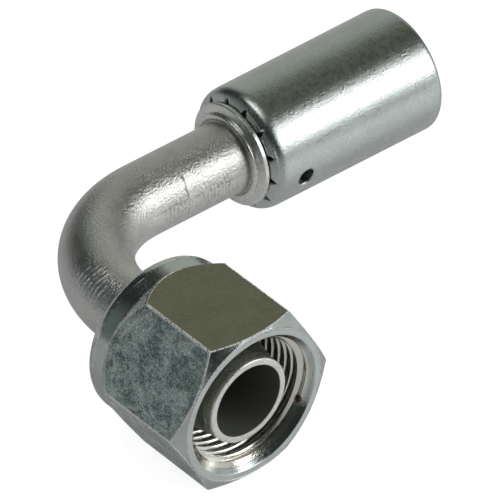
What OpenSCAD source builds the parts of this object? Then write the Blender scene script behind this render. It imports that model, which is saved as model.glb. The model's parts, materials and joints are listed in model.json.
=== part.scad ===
// Swivel elbow end of a hydraulic hose assembly: a bent steel tube with a coned sealing head and a
// captive hexagon nut at one end, and a barbed hose nipple with its crimp ferrule at the other.
//
// Frame: millimetres, +Z up. The origin is the centre of the sealing head's front face. The nut turns
// about the Y axis and its mating connector leaves along -Y. The hose leaves along +X. The two axes
// lie in the plane Z = 0 and meet at the elbow's corner, [0, nut_leg, 0].

/* [Bent tube] */
// Outside diameter of the bent tube
tube_od = 16; // [14:0.5:16.5]
// Wall thickness of the bent tube
tube_wall = 2; // [1:0.25:2.5]
// Bend radius, measured on the tube's centre line
bend_radius = 25; // [20:0.5:28]
// Distance from the sealing head's face to the hose axis
nut_leg = 64; // [62:1:90]
// Distance from the nut axis to the end face of the hose nipple
hose_leg = 48; // [40:1:80]
// Gap left for filler metal between the tube and a socket, on the radius
braze_gap = 0.05; // [0.02:0.01:0.1]
// Width of the filler metal in each socket's mouth
braze_fillet = 0.8; // [0.4:0.1:1]

/* [Sealing head] */
// Bore of the sealing head at its front
head_bore_d = 16.5; // [14:0.5:17]
// Diameter of the straight pilot at the tip of the head
pilot_d = 19.7; // [19:0.1:20.5]
// Length of the straight pilot
pilot_len = 2.5; // [2:0.25:4]
// Full angle of the sealing cone
cone_angle = 24; // [20:1:24]
// Length of the sealing cone along the axis
cone_len = 12; // [9:0.5:12.5]
// Diameter of the shoulder that the nut pulls on
shoulder_d = 27; // [26:0.25:27.2]
// Length of the straight part of that shoulder
shoulder_len = 6.4; // [5:0.2:8]
// Diameter of the shank behind the shoulder
shank_d = 20.6; // [19.5:0.1:21]
// Overall length of the sealing head
head_len = 29; // [28:0.5:30]
// Depth of the socket that takes the tube
head_socket_len = 12; // [8:0.5:13]
// Thickness of metal between the wide front bore and the tube's end
head_web = 2; // [1:0.25:4]

/* [Swivel nut] */
// Size across the flats of the hexagon
nut_af = 36; // [36:0.5:41]
// Overall length of the nut
nut_len = 32.4; // [30.5:0.2:36]
// How far the nut's front face stands ahead of the sealing head's face
nut_ahead = 1.7; // [0.5:0.1:4]
// Nominal diameter of the internal thread
thread_d = 30; // [30:0.25:31]
// Pitch of the internal thread
thread_pitch = 2; // [1:0.25:2]
// Length of the internal thread behind its lead-in
thread_len = 17; // [12:0.5:18]
// Diameter of the lead-in at the mouth of the nut
lead_in_d = 32.4; // [31.5:0.1:33]
// Depth of the lead-in
lead_in_len = 2.8; // [1.5:0.1:3.5]
// Diameter of the flat ring on the nut's front face
front_flat_d = 35.3; // [34:0.1:36]
// Slope of the chamfer on the front corners
front_chamfer_angle = 30; // [20:1:35]
// Length of the corner edges of the hexagon
corner_len = 19.8; // [16:0.2:21]
// Slope of the taper behind the hexagon, measured from the axis
rear_taper_angle = 32; // [28:1:40]
// Diameter of the round collar behind the hexagon
collar_d = 35.8; // [33:0.1:36]
// Radius of the collar's rolled rear edge
collar_round = 3.2; // [1:0.1:4]
// Running gap between the nut and the sealing head
swivel_gap = 0.3; // [0.2:0.05:0.5]

/* [Hose nipple] */
// Diameter of the nipple's end land, next to the tube
nipple_land_d = 19.6; // [19:0.1:20.4]
// Length of the end land
nipple_land_len = 1.1; // [0.8:0.1:2]
// Diameter of the bead that the ferrule is locked behind
bead_d = 23.2; // [22.4:0.1:24]
// Length of the bead, its flank included
bead_len = 1.5; // [1.2:0.1:2.5]
// Width of the bead itself, without its flank
bead_w = 1.2; // [0.8:0.1:1.2]
// Chamfer on the end land
nipple_land_chamfer = 0.6; // [0.3:0.1:0.8]
// Diameter of the locking groove
groove_d = 20.8; // [20.2:0.1:21.2]
// Diameter of the stop shoulder that the hose butts against
stop_d = 23; // [22:0.1:23.2]
// Depth of the socket that takes the tube
nipple_socket_len = 6; // [5:0.25:8]
// Thickness of metal between the tube's end and the face that stops the hose
stop_web = 2.3; // [1.5:0.1:4]
// Length of the plain neck between that face and the first barb
neck_len = 3; // [2:0.25:5]
// Bore of the nipple
nipple_bore_d = 9.5; // [8:0.25:10]
// Diameter over the barbs
barb_d = 13.2; // [12.8:0.1:14]
// Diameter of the stem between the barbs and at its tip
stem_d = 11.8; // [11.4:0.1:12.4]
// Number of barbs
barb_count = 8; // [4:1:8]
// Distance from one barb to the next
barb_pitch = 4; // [3:0.25:4]
// Length of a barb's crest
barb_crest = 0.8; // [0.4:0.1:1.2]
// Length of the plain tip in front of the barbs
tip_len = 4.5; // [4:0.25:6]

/* [Crimp ferrule] */
// Outside diameter at the open end
ferrule_od = 28.1; // [27.5:0.1:31]
// Outside diameter next to the rolled shoulder
ferrule_neck_d = 27.6; // [27.2:0.1:30]
// Overall length of the ferrule
ferrule_len = 46; // [40:0.5:50]
// Inside diameter of the ferrule, where the hose goes
ferrule_bore_d = 23.8; // [23.6:0.1:24.4]
// Thickness of the end that is folded into the nipple's groove
fold_wall = 2.2; // [1.6:0.1:2.6]
// Radius of the rolled shoulder
shoulder_round = 3.1; // [2:0.1:3.1]
// Flat ring left between the folded end's hole and the rolled shoulder
fold_land = 0.15; // [0.1:0.05:0.5]
// Rounding on the outside of the open end
mouth_round = 1.2; // [0.6:0.1:1.4]
// Chamfer on the inside of the open end
mouth_chamfer = 0.6; // [0.3:0.1:0.7]
// Gap between the ferrule and the nipple
ferrule_gap = 0.15; // [0.1:0.05:0.3]
// Number of folded tabs
tab_count = 13; // [6:1:16]
// Width of the notch between two tabs, at its mouth
notch_w = 0.7; // [0.3:0.1:1.2]
// Depth of the notches, measured outwards from the bead's edge
notch_depth = 1.3; // [0.6:0.1:1.6]
// How far the notches run past the folded wall, inside the ferrule
notch_run = 0.5; // [0.2:0.1:1]
// Direction of the first notch about the hose axis, from +Y towards +Z
notch_angle = 19; // [0:1:360]
// Number of gripping ribs inside the ferrule
rib_count = 7; // [3:1:7]
// Height of a gripping rib
rib_h = 0.5; // [0.2:0.1:0.6]
// Distance from one rib to the next
rib_pitch = 4.5; // [3:0.25:4.5]
// Diameter of the inspection hole
sight_d = 4; // [2:0.1:4.5]
// Distance from the ferrule's folded end to the inspection hole
sight_from_end = 8.3; // [7:0.1:12]
// Direction of the inspection hole about the hose axis, from +Y towards +Z
sight_angle = 191; // [0:1:360]

/* [Hidden] */

// Facets of the preview; every circle above twelve is a true curve in the exact solid
fine = 96;
// Overshoot that keeps cuts from ending on a face
over = 1;
// Small edge breaks
edge = 0.3;
// Steps in a rounded corner
arc_steps = 8;

tube_r = tube_od / 2;
tube_bore_r = tube_r - tube_wall;
socket_r = tube_r + braze_gap;

// Sealing head, distances along +Y from its face
pilot_r = pilot_d / 2;
cone_end = pilot_len + cone_len;
cone_end_r = pilot_r + cone_len * tan(cone_angle / 2);
shoulder_r = shoulder_d / 2;
shoulder_start = cone_end + max(shoulder_r - cone_end_r, 0);
shoulder_end = shoulder_start + shoulder_len;
shank_r = shank_d / 2;
head_stop = head_len - head_socket_len;

// Swivel nut; the thread is drawn at its minor diameter, 1.0825 pitches under the nominal one
thread_r = (thread_d - 1.0825 * thread_pitch) / 2;
relief_r = thread_d / 2 + swivel_gap;
nut_front = -nut_ahead;
nut_rear = nut_front + nut_len;
lead_in_end = nut_front + lead_in_len;
thread_end = lead_in_end + thread_len;
corner_r = nut_af / 2 / cos(30);
front_chamfer_len = (corner_r - front_flat_d / 2) * tan(front_chamfer_angle);
corner_end = nut_front + front_chamfer_len + corner_len;
collar_r = collar_d / 2;
collar_start = corner_end + (corner_r - collar_r) / tan(rear_taper_angle);
nut_bore_r = shank_r + swivel_gap;
// The nut's thrust seat is a 45 degree cone on which radius plus distance is constant
thrust_sum = shoulder_r + shoulder_end + swivel_gap * sqrt(2);

// Hose nipple and ferrule, distances along +X from the nut axis
nipple_land_r = nipple_land_d / 2;
bead_r = bead_d / 2;
bead_end = hose_leg + nipple_land_len + bead_len;
fold_start = bead_end + ferrule_gap;
groove_end = fold_start + fold_wall + ferrule_gap;
groove_r = groove_d / 2;
stop_r = stop_d / 2;
nipple_stop = hose_leg + nipple_socket_len;
stop_end = nipple_stop + stop_web;
barb_r = barb_d / 2;
stem_r = stem_d / 2;
barbs_start = stop_end + neck_len;
barbs_end = barbs_start + barb_count * barb_pitch;
tip_end = barbs_end + tip_len;
nipple_bore_r = nipple_bore_d / 2;

ferrule_end = fold_start + ferrule_len;
ferrule_r = ferrule_od / 2;
ferrule_neck_r = ferrule_neck_d / 2;
ferrule_bore_r = ferrule_bore_d / 2;
fold_r = groove_r + ferrule_gap;
fold_end = fold_start + fold_wall;
fold_round = min(shoulder_round, ferrule_neck_r - fold_r - fold_land);
ribs_start = fold_start + sight_from_end + sight_d / 2 + 2 * rib_h;
notch_root_r = bead_r + notch_depth;

// Points of an arc about [r, z], from angle a0 to angle a1
function arc(r, z, radius, a0, a1) =
    [for (i = [0 : arc_steps])
        let (a = a0 + (a1 - a0) * i / arc_steps)
        [r + radius * cos(a), z + radius * sin(a)]];

// Solid of revolution about the local Z axis, from [radius, distance] points
module revolve(points) {
    rotate_extrude($fn = fine)
        polygon(points);
}

// Local Z axis laid along +Y, from the sealing head's face
module on_nut_axis() {
    rotate([-90, 0, 0])
        children();
}

// Local Z axis laid along +X, from the nut axis
module on_hose_axis() {
    translate([0, nut_leg, 0])
        rotate([0, 90, 0])
            children();
}

// Local X axis turned to a direction about the hose axis, from +Y towards +Z
module about_hose(angle) {
    rotate([0, 0, 90 + angle])
        children();
}

// Straight pipe along the local Z axis, from z0 to z1
module pipe(r, bore, z0, z1) {
    translate([0, 0, z0])
        difference() {
            cylinder(r = r, h = z1 - z0, $fn = fine);
            translate([0, 0, -over])
                cylinder(r = bore, h = z1 - z0 + 2 * over, $fn = fine);
        }
}

module ring_2d(r, bore) {
    difference() {
        circle(r = r, $fn = fine);
        circle(r = bore, $fn = fine);
    }
}

// Quarter torus that joins the two straight runs of the tube
module bend() {
    translate([bend_radius, nut_leg - bend_radius, 0])
        rotate([0, 0, 90])
            rotate_extrude(angle = 90, $fn = fine)
                translate([bend_radius, 0])
                    ring_2d(tube_r, tube_bore_r);
}

module elbow_tube() {
    color([0.66, 0.65, 0.62])
        union() {
            on_nut_axis()
                pipe(tube_r, tube_bore_r, head_stop, nut_leg - bend_radius);
            bend();
            on_hose_axis()
                pipe(tube_r, tube_bore_r, bend_radius, nipple_stop);
        }
}

// Turned head: pilot, 24 degree cone, thrust shoulder and shank, with a tube socket in its back
module sealing_head() {
    outer = [
        [0, 0],
        [pilot_r - edge, 0],
        [pilot_r, edge],
        [pilot_r, pilot_len],
        [cone_end_r, cone_end],
        [shoulder_r, shoulder_start],
        [shoulder_r, shoulder_end],
        [shank_r, shoulder_end + shoulder_r - shank_r],
        [shank_r, head_len],
        [0, head_len]
    ];
    color([0.72, 0.72, 0.69])
        on_nut_axis()
            difference() {
                revolve(outer);
                translate([0, 0, -over])
                    cylinder(r = head_bore_d / 2, h = head_stop - head_web + over, $fn = fine);
                translate([0, 0, -over])
                    cylinder(r = tube_bore_r, h = head_len + 2 * over, $fn = fine);
                translate([0, 0, head_stop])
                    cylinder(r = socket_r, h = head_socket_len + over, $fn = fine);
                fillet_space(head_len, -1, over);
            }
}

// Cone cut into a socket's mouth, or its filler metal; dir is +1 or -1, into the socket
module fillet_space(mouth, dir, beyond) {
    wide = tube_r + braze_fillet;
    revolve([
        [0, mouth + dir * braze_fillet],
        [tube_r, mouth + dir * braze_fillet],
        [wide, mouth],
        [wide, mouth - dir * beyond],
        [0, mouth - dir * beyond]
    ]);
}

// Ring of filler metal that has flowed into a socket's mouth
module braze_ring(mouth, dir) {
    revolve([
        [tube_r, mouth + dir * braze_fillet],
        [tube_r + braze_fillet, mouth],
        [tube_r, mouth]
    ]);
}

module head_braze_ring() {
    color([0.70, 0.66, 0.55])
        on_nut_axis()
            braze_ring(head_len, -1);
}

module nipple_braze_ring() {
    color([0.70, 0.66, 0.55])
        on_hose_axis()
            braze_ring(hose_leg, 1);
}

// Hexagon with a chamfered front, a tapered back and a rolled round collar
module swivel_nut() {
    hexagon = [
        [0, nut_front],
        [front_flat_d / 2, nut_front],
        [corner_r, nut_front + front_chamfer_len],
        [corner_r, corner_end],
        [collar_r, collar_start],
        [0, collar_start]
    ];
    collar = concat(
        [[0, corner_end], [collar_r, corner_end]],
        arc(collar_r - collar_round, nut_rear - collar_round, collar_round, 0, 90),
        [[0, nut_rear]]
    );
    inside = [
        [0, nut_front - over],
        [lead_in_d / 2, nut_front - over],
        [lead_in_d / 2, nut_front],
        [thread_r, lead_in_end],
        [thread_r, thread_end],
        [relief_r, thread_end + relief_r - thread_r],
        [relief_r, thrust_sum - relief_r],
        [nut_bore_r, thrust_sum - nut_bore_r],
        [nut_bore_r, nut_rear + over],
        [0, nut_rear + over]
    ];
    color([0.52, 0.54, 0.52])
        on_nut_axis()
            difference() {
                union() {
                    intersection() {
                        revolve(hexagon);
                        translate([0, 0, nut_front])
                            cylinder(r = corner_r, h = nut_len, $fn = 6);
                    }
                    revolve(collar);
                }
                revolve(inside);
            }
}

// Barbs rise steeply on the nipple's side and slope towards the hose's way in
function barbs() =
    [for (i = [0 : barb_count - 1])
        let (z = barbs_start + i * barb_pitch)
        each [[barb_r, z], [barb_r, z + barb_crest], [stem_r, z + barb_pitch]]];

module hose_nipple() {
    outer = concat(
        [[0, hose_leg], [nipple_land_r - nipple_land_chamfer, hose_leg]],
        [[nipple_land_r, hose_leg + nipple_land_chamfer], [nipple_land_r, hose_leg + nipple_land_len]],
        [[bead_r - edge, bead_end - bead_w], [bead_r, bead_end - bead_w + edge]],
        [[bead_r, bead_end - edge], [bead_r - edge, bead_end], [groove_r, bead_end]],
        [[groove_r, groove_end], [stop_r, groove_end], [stop_r, stop_end]],
        [[stem_r, stop_end], [stem_r, barbs_start]],
        barbs(),
        [[stem_r, tip_end - edge], [stem_r - edge, tip_end], [0, tip_end]]
    );
    color([0.74, 0.73, 0.70])
        on_hose_axis()
            difference() {
                revolve(outer);
                translate([0, 0, hose_leg - over])
                    cylinder(r = socket_r, h = nipple_socket_len + over, $fn = fine);
                translate([0, 0, hose_leg - over])
                    cylinder(r = nipple_bore_r, h = tip_end - hose_leg + 2 * over, $fn = fine);
                fillet_space(hose_leg, 1, over);
            }
}

// Ribs that bite into the hose, as points of the ferrule's bore from its open end inwards
function ribs() =
    [for (i = [rib_count - 1 : -1 : 0])
        let (z = ribs_start + i * rib_pitch)
        each [[ferrule_bore_r, z + rib_h], [ferrule_bore_r - rib_h, z], [ferrule_bore_r, z - rib_h]]];

// Wedge between two folded tabs
module notch() {
    translate([0, 0, fold_start - over])
        linear_extrude(height = over + fold_wall + notch_run)
            polygon([
                [fold_r - over, -notch_w / 2],
                [bead_r, -notch_w / 2],
                [notch_root_r, 0],
                [bead_r, notch_w / 2],
                [fold_r - over, notch_w / 2]
            ]);
}

// Deep-drawn shell whose closed end is slit and folded into the nipple's groove
module crimp_ferrule() {
    shell = concat(
        [[fold_r, fold_start]],
        arc(ferrule_neck_r - fold_round, fold_start + fold_round, fold_round, -90, 0),
        arc(ferrule_r - mouth_round, ferrule_end - mouth_round, mouth_round, 0, 90),
        [[ferrule_bore_r + mouth_chamfer, ferrule_end], [ferrule_bore_r, ferrule_end - mouth_chamfer]],
        ribs(),
        [[ferrule_bore_r, fold_end], [fold_r, fold_end]]
    );
    color([0.62, 0.63, 0.61])
        on_hose_axis()
            difference() {
                revolve(shell);
                for (i = [0 : tab_count - 1])
                    about_hose(notch_angle + i * 360 / tab_count)
                        notch();
                translate([0, 0, fold_start + sight_from_end])
                    about_hose(sight_angle)
                        rotate([0, 90, 0])
                            cylinder(d = sight_d, h = ferrule_r + over, $fn = fine);
            }
}

elbow_tube();
sealing_head();
swivel_nut();
hose_nipple();
crimp_ferrule();
head_braze_ring();
nipple_braze_ring();
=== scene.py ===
import json
import math

import bmesh
import bpy
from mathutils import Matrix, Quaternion, Vector


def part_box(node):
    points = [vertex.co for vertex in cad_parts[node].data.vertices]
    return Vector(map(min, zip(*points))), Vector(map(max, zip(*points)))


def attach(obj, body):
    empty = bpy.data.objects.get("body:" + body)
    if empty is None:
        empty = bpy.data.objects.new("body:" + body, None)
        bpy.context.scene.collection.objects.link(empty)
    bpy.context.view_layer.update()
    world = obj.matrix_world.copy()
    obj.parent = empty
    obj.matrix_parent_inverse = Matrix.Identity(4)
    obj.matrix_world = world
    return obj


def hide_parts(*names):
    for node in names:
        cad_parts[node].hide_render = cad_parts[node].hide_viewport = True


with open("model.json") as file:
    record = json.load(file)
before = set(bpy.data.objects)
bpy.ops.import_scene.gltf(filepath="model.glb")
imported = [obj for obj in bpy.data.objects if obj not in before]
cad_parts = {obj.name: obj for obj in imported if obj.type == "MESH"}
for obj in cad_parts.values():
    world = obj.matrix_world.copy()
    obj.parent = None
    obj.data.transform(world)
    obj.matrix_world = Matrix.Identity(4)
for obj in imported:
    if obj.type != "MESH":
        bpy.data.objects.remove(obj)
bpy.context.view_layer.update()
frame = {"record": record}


# ---- Camera ----------------------------------------------
# A long lens stands 1.66 m away and looks down into the open nut from its left side,
# so that the hose end points away to the right. The camera is turned by one degree on its own axis.

mm = 0.001
view_azimuth = 221.11
view_elevation = 38.43
view_roll = 1.02
view_distance = 1662.9 * mm
view_target = Vector((31.91 * mm, 36.99 * mm, 0))
sensor_width = 36
focal_length = 581.9


def direction(azimuth, elevation):
    """Unit vector at an azimuth from +Y towards +X and an elevation, both in degrees."""
    across = math.cos(math.radians(elevation))
    turned_by = math.radians(azimuth)
    up = math.sin(math.radians(elevation))
    return Vector((math.sin(turned_by) * across, math.cos(turned_by) * across, up))


def new_object(name, data):
    """Put an object with its data into the scene."""
    made = bpy.data.objects.new(name, data)
    bpy.context.scene.collection.objects.link(made)
    return made


camera_data = bpy.data.cameras.new("camera")
camera_data.sensor_width = sensor_width
camera_data.lens = focal_length
camera_data.clip_start = 0.05
camera_data.clip_end = 20
camera = new_object("camera", camera_data)
towards_camera = direction(view_azimuth, view_elevation)
camera.location = view_target + towards_camera * view_distance
camera.rotation_mode = "QUATERNION"
turn = Quaternion((0, 0, 1), math.radians(view_roll))
camera.rotation_quaternion = towards_camera.to_track_quat("Z", "Y") @ turn
bpy.context.scene.camera = camera


# ---- Elbow tube ------------------------------------------
# Seamless cold-drawn steel tube, bent cold round a former through a right angle and pushed into a
# brazing socket at each end. It is plated with the rest, so it is satin, with marks of the bender.

tube_low, tube_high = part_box("elbow_tube")
tube_r = tube_high.z
tube_wall = 2 * mm
bend_radius = 25 * mm
hose_axis_y = tube_high.y - tube_r
hose_axis = Vector((0, hose_axis_y, 0))
jaw_pitch = 1 * mm
jaw_mark = (29 * mm, 56.6 * mm, -2.6 * mm)
next_jaw_mark = (39 * mm, 56.5 * mm, -2 * mm)
rib_glint_mark = (-6.3 * mm, 43.6 * mm, 4.4 * mm)
seam_middle = (34 * mm, 56.2 * mm, 1.3 * mm)
crease_middle = (31.7 * mm, 57.6 * mm, 4.4 * mm)


def node(tree, kind, sockets=None, **settings):
    """Add a node to a tree, with its settings, and its sockets set to a value or linked to another."""
    made = tree.nodes.new(kind)
    for name, value in settings.items():
        setattr(made, name, value)
    for name, value in (sockets or {}).items():
        if isinstance(value, bpy.types.NodeSocket):
            tree.links.new(value, made.inputs[name])
        else:
            made.inputs[name].default_value = value
    return made


def shape_node(tree, kind, sockets=None, **settings):
    """Add a geometry node and give its first output."""
    return node(tree, "GeometryNode" + kind, sockets, **settings).outputs[0]


def tree_of(*values):
    """Tree that the first socket among some values is in."""
    return next(value.id_data for value in values if isinstance(value, bpy.types.NodeSocket))


def maths(operation, *values):
    """Add a Math node on numbers or sockets, and give its result."""
    tree = tree_of(*values)
    return node(tree, "ShaderNodeMath", dict(enumerate(values)), operation=operation).outputs[0]


def times(first, second):
    """Product of two numbers or sockets."""
    return maths("MULTIPLY", first, second)


def vectors(operation, *values):
    """Add a Vector Math node on vectors or sockets, and give its result, a number or a vector."""
    tree = tree_of(*values)
    made = node(tree, "ShaderNodeVectorMath", dict(enumerate(values)), operation=operation)
    return made.outputs["Value" if operation in ("DISTANCE", "DOT_PRODUCT", "LENGTH") else "Vector"]


def separated(place):
    """The X, Y and Z of a vector."""
    return node(place.id_data, "ShaderNodeSeparateXYZ", {0: place}).outputs


def combined(**parts):
    """A vector of its X, Y and Z, those not given being 0."""
    return node(tree_of(*parts.values()), "ShaderNodeCombineXYZ", parts).outputs[0]


def new_tree(name, inputs):
    """Start a Geometry Nodes tree that takes a mesh, named inputs and a material."""
    tree = bpy.data.node_groups.new(name, "GeometryNodeTree")
    tree.interface.new_socket("Mesh", in_out="INPUT", socket_type="NodeSocketGeometry")
    for label, kind in (*inputs.items(), ("Material", "Material")):
        tree.interface.new_socket(label, in_out="INPUT", socket_type="NodeSocket" + kind)
    tree.interface.new_socket("Mesh", in_out="OUTPUT", socket_type="NodeSocketGeometry")
    return tree, tree.nodes.new("NodeGroupInput").outputs


def end_tree(geometry, material):
    """Make instances real, set the material and join the result to the tree's output."""
    tree = geometry.id_data
    real = shape_node(tree, "RealizeInstances", {"Geometry": geometry})
    smooth = shape_node(tree, "SetShadeSmooth", {"Geometry": real})
    painted = shape_node(tree, "SetMaterial", {"Geometry": smooth, "Material": material})
    node(tree, "NodeGroupOutput", {"Mesh": painted})


def add_tree(piece, tree, values):
    """Hang a tree on a piece, its inputs set by their identifiers."""
    modifier = piece.modifiers.new(tree.name, "NODES")
    modifier.node_group = tree
    for socket in tree.interface.items_tree:
        if socket.in_out == "INPUT" and socket.name in values:
            modifier[socket.identifier] = values[socket.name]


def settle(piece):
    """Turn a piece and its modifiers into a plain closed mesh with its faces outwards."""
    bpy.context.view_layer.update()
    graph = bpy.context.evaluated_depsgraph_get()
    shape = bpy.data.meshes.new_from_object(piece.evaluated_get(graph))
    piece.modifiers.clear()
    piece.data = shape
    work = bmesh.new()
    work.from_mesh(shape)
    bmesh.ops.recalc_face_normals(work, faces=work.faces)
    work.to_mesh(shape)
    work.free()
    shape.shade_smooth()


def new_piece(name, points, faces=(), edges=()):
    """Put a mesh of its own into the scene, its place in its points."""
    shape = bpy.data.meshes.new(name)
    shape.from_pydata(points, edges, faces)
    return new_object(name, shape)


def fit(piece, body, stands_for):
    """Let a finished piece stand for its CAD node, on that node's body."""
    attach(piece, body)
    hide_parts(stands_for)


def metal(name, tint, roughness):
    """Start a bare metal: its material, its shader, and the piece's own coordinates."""
    material = bpy.data.materials.new(name)
    material.use_nodes = True
    tree = material.node_tree
    shader = tree.nodes["Principled BSDF"]
    shader.inputs["Metallic"].default_value = 1
    shader.inputs["Base Color"].default_value = (*tint, 1)
    shader.inputs["Roughness"].default_value = roughness
    return material, shader, node(tree, "ShaderNodeTexCoord").outputs["Object"]


def attribute(place, name):
    """Value of an attribute of the piece's surface."""
    return node(place.id_data, "ShaderNodeAttribute", attribute_name=name).outputs["Fac"]


def noise(place, size, detail=3, stretch=(1, 1, 1)):
    """Cloudy pattern from 0 to 1, with patches about `size` across, longer along `stretch`."""
    scaled = vectors("MULTIPLY", place, tuple(1 / (size * longer) for longer in stretch))
    sockets = {"Vector": scaled, "Scale": 1, "Detail": detail}
    return node(place.id_data, "ShaderNodeTexNoise", sockets).outputs["Fac"]


def spread(value, low, high, to_low=0, to_high=1):
    """Stretch the part of a value between low and high over another range, and clamp it there."""
    sockets = {"From Min": low, "From Max": high, "To Min": to_low, "To Max": to_high}
    return node(value.id_data, "ShaderNodeMapRange", {"Value": value, **sockets}).outputs[0]


def tinted(amount, first, second):
    """Mix two colours, each a colour or a socket, by an amount."""
    sockets = {"Factor": amount}
    for socket, colour in ((6, first), (7, second)):
        sockets[socket] = (*colour, 1) if isinstance(colour, tuple) else colour
    return node(amount.id_data, "ShaderNodeMix", sockets, data_type="RGBA").outputs[2]


def around(place, point, reach):
    """Mask that is 1 near a point of the piece and falls to 0 at a distance from it."""
    return spread(vectors("DISTANCE", place, point), 0.6 * reach, reach, 1, 0)


def stroke(value, middle, core, edge, full=1):
    """Mask of a line: full where a value is within the core of its middle, and 0 past the edge."""
    off = maths("ABSOLUTE", maths("SUBTRACT", value, middle))
    return spread(off, core, edge, full, 0)


def feed(shader, values):
    """Link values to the shader's sockets, by their names."""
    for name, value in values.items():
        shader.id_data.links.new(value, shader.inputs[name])


def raised(shader, height, depth):
    """Raise the surface by height times depth, in metres, on top of what is raised already."""
    below = shader.inputs["Normal"].links
    sockets = {"Height": height, "Distance": depth, "Strength": 1}
    if below:
        sockets["Normal"] = below[0].from_socket
    feed(shader, {"Normal": node(shader.id_data, "ShaderNodeBump", sockets).outputs[0]})


def tube_steel():
    """Satin plated tube: coarse grain, a faint seam, a crease with painted shade, jaw bites with
    painted glints.
    """
    material, shader, place = metal("tube_steel", (0.88, 0.885, 0.87), 0.34)
    where = separated(place)
    grain = noise(place, 0.5 * mm, detail=6)
    cloud = noise(place, 5 * mm, detail=5)
    colour = tinted(spread(cloud, 0.35, 0.7), (0.80, 0.80, 0.785), (0.71, 0.705, 0.68))
    colour = tinted(spread(grain, 0.3, 0.65, 0.4, 0), colour, (0.46, 0.46, 0.445))

    seam_at = maths("MULTIPLY_ADD", where["X"], -0.04, spread(cloud, 0, 1, 2 * mm, 3.8 * mm))
    seam = stroke(where["Z"], seam_at, 0.05 * mm, 0.45 * mm)
    seam = times(seam, around(place, seam_middle, 16 * mm))
    seam = times(seam, spread(noise(place, 1.2 * mm), 0.35, 0.6, 0, 0.55))
    # The crease is a slight dent, and the dark line in its colour is painted shade where the highlight
    # breaks.
    crease_at = spread(noise(place, 2.5 * mm), 0, 1, 30.8 * mm, 32.6 * mm)
    crease_and_shade = stroke(where["X"], crease_at, 0.08 * mm, 0.3 * mm)
    crease_and_shade = times(crease_and_shade, around(place, crease_middle, 4 * mm))
    colour = tinted(maths("MAXIMUM", seam, times(crease_and_shade, 0.65)), colour, (0.22, 0.22, 0.20))

    shake = times(noise(place, 3 * mm, detail=4), 5)
    turns_along = maths("MULTIPLY_ADD", attribute(place, "along"), math.tau / jaw_pitch, shake)
    bitten = spread(noise(place, 1.1 * mm, detail=4), 0.42, 0.6, 0.08, 1)
    ribs = times(spread(maths("SINE", turns_along), -0.1, 1), bitten)
    jaws = maths("MAXIMUM", around(place, jaw_mark, 6.5 * mm), around(place, next_jaw_mark, 7 * mm))
    pressed = times(ribs, jaws)
    # Painted highlight: near-white, nearly matt glints on the jaw ribs by the bend, standing in for
    # the light they catch.
    rubbed_glint = times(ribs, around(place, rib_glint_mark, 6.8 * mm))
    colour = tinted(times(pressed, 0.4), colour, (0.48, 0.49, 0.48))
    colour = tinted(rubbed_glint, colour, (0.95, 0.97, 0.96))
    feed(shader, {
        "Base Color": colour,
        "Metallic": maths("MULTIPLY_ADD", rubbed_glint, -0.85, 1),
        "Roughness": spread(noise(place, 1.5 * mm), 0.3, 0.7, 0.27, 0.39),
    })
    raised(shader, grain, 0.15 * mm)
    raised(shader, crease_and_shade, -0.05 * mm)
    raised(shader, maths("ADD", pressed, rubbed_glint), 0.11 * mm)
    return material


def bent_tube_tree():
    """Round the corner of a bare line and sweep the tube's outside along it."""
    tree, given = new_tree("bent_tube", {"Bend Radius": "Float", "Tube Radius": "Float"})
    line = shape_node(tree, "MeshToCurve", {"Mesh": given["Mesh"]})
    corner = {"Curve": line, "Radius": given["Bend Radius"], "Count": 90}
    bent = shape_node(tree, "FilletCurve", corner, mode="POLY")
    even = shape_node(tree, "ResampleCurve", {"Curve": bent, "Length": 0.7 * mm}, mode="LENGTH")
    length = node(tree, "GeometryNodeSplineParameter").outputs["Length"]
    along = {"Geometry": even, "Name": "along", "Value": length}
    noted = shape_node(tree, "StoreNamedAttribute", along, data_type="FLOAT")
    circle = {"Resolution": 128, "Radius": given["Tube Radius"]}
    ring = shape_node(tree, "CurvePrimitiveCircle", circle)
    tube = shape_node(tree, "CurveToMesh", {"Curve": noted, "Profile Curve": ring})
    end_tree(tube, given["Material"])
    return tree


route = [Vector((0, tube_low.y, 0)), hose_axis, Vector((tube_high.x, hose_axis_y, 0))]
elbow_tube = new_piece("tube_bent", route, edges=[(0, 1), (1, 2)])
bend = {"Bend Radius": bend_radius, "Tube Radius": tube_r, "Material": tube_steel()}
add_tree(elbow_tube, bent_tube_tree(), bend)
wall = elbow_tube.modifiers.new("wall", "SOLIDIFY")
wall.thickness = tube_wall
wall.offset = -1
settle(elbow_tube)
fit(elbow_tube, "hose_end", "elbow_tube")


# ---- Sealing head ----------------------------------------
# Steel head turned from bar: a thin nose with a straight pilot, a 24 degree sealing cone, the
# thrust shoulder that the nut pulls on, and a shank with the tube's brazing socket in its back.

head_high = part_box("sealing_head")[1]
mounts = {mount["name"]: mount["dims"] for mount in frame["record"]["mounts"]}
head_len = head_high.y
pilot_r = mounts["cone_pilot"]["r_mm"] * mm
pilot_len = 2.5 * mm
nose_bore_r = 8.25 * mm
nose_depth = 15 * mm
cone_end = 14.5 * mm
cone_end_r = pilot_r + (cone_end - pilot_len) * math.tan(math.radians(12))
shoulder_r = head_high.x
shoulder_start = cone_end + shoulder_r - cone_end_r
shoulder_end = shoulder_start + 6.4 * mm
shank_r = 10.3 * mm
tube_bore_r = tube_r - tube_wall
socket_r = tube_r + 0.05 * mm
socket_start = tube_low.y
braze_w = 0.8 * mm
columns = 192
arc_steps = 5
each_corner = arc_steps + 3
straight_hold = 0.12 * mm


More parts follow.
